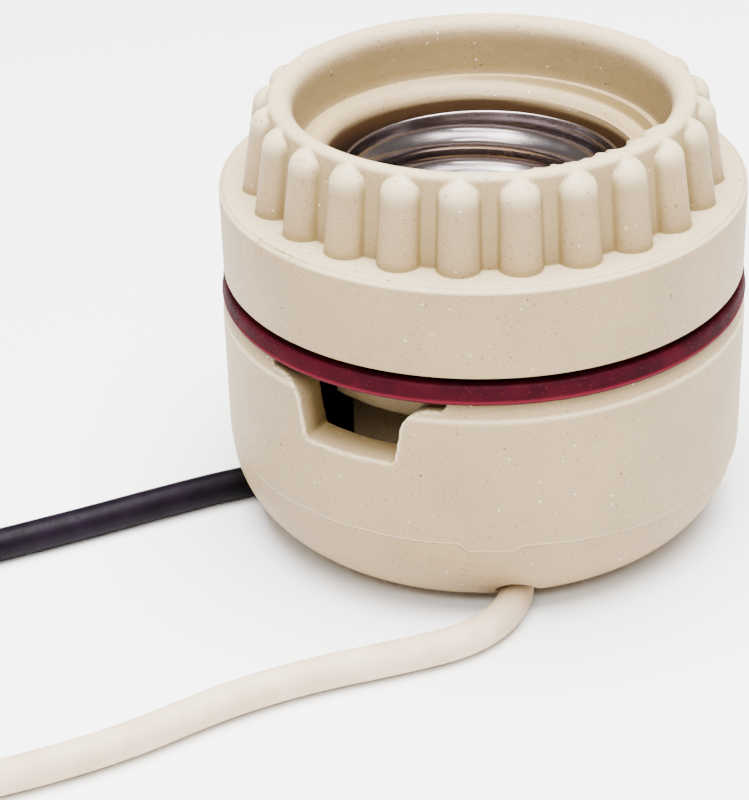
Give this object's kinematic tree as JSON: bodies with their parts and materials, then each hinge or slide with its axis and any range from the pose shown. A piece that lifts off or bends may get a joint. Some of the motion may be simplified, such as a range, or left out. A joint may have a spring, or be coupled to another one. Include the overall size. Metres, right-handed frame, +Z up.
{
  "type": "keyless lamp socket",
  "caption": "Porcelain keyless lamp socket for a medium screw base: ribbed clamp ring, red gasket, notched base cup, screw shell and two free leads.",
  "frame": {"origin": "centre of the foot ring, on the surface that it stands on", "axes": "+Z up the lamp axis, out of the mouth; -Y towards the middle of the notch"},
  "size_m": [0.1434, 0.1108, 0.044],
  "materials": {
    "porcelain": "satin, fine speckle",
    "gasket_rubber": "matt",
    "shell_metal": "drawn, dulled",
    "contact_brass": "satin",
    "plated_steel": "satin",
    "black_insulation": "soft sheen",
    "white_insulation": "soft sheen",
    "copper": "bare stranded copper"
  },
  "bodies": {
    "base": {"base_cup": "porcelain", "socket_core": "porcelain", "screw_shell": "shell_metal", "shell_rivets": "contact_brass", "centre_contact": "contact_brass", "centre_rivet": "contact_brass", "centre_terminal": "contact_brass", "shell_terminal": "contact_brass", "threaded_inserts": "contact_brass", "base_screws": "plated_steel", "black_lead": "black_insulation", "white_lead": "white_insulation", "black_conductor": "copper", "white_conductor": "copper"},
    "gasket": {"gasket": "gasket_rubber"},
    "ring": {"clamp_ring": "porcelain"}
  },
  "joints": [
    {"name": "ring_turn", "type": "hinge", "parent": "base", "child": "gasket", "pos_m": [0, 0, 0.0241], "axis": [0, 0, 1], "range_deg": [-38, 660]},
    {"name": "ring_lift", "type": "slide", "parent": "gasket", "child": "ring", "axis": [0, 0, 1], "range_m": [-0.0007, 0.0117]}
  ],
  "couplings": [
    {"joint": "ring_lift", "follows": "ring_turn", "m_per_rad": 0.0010106}
  ]
}
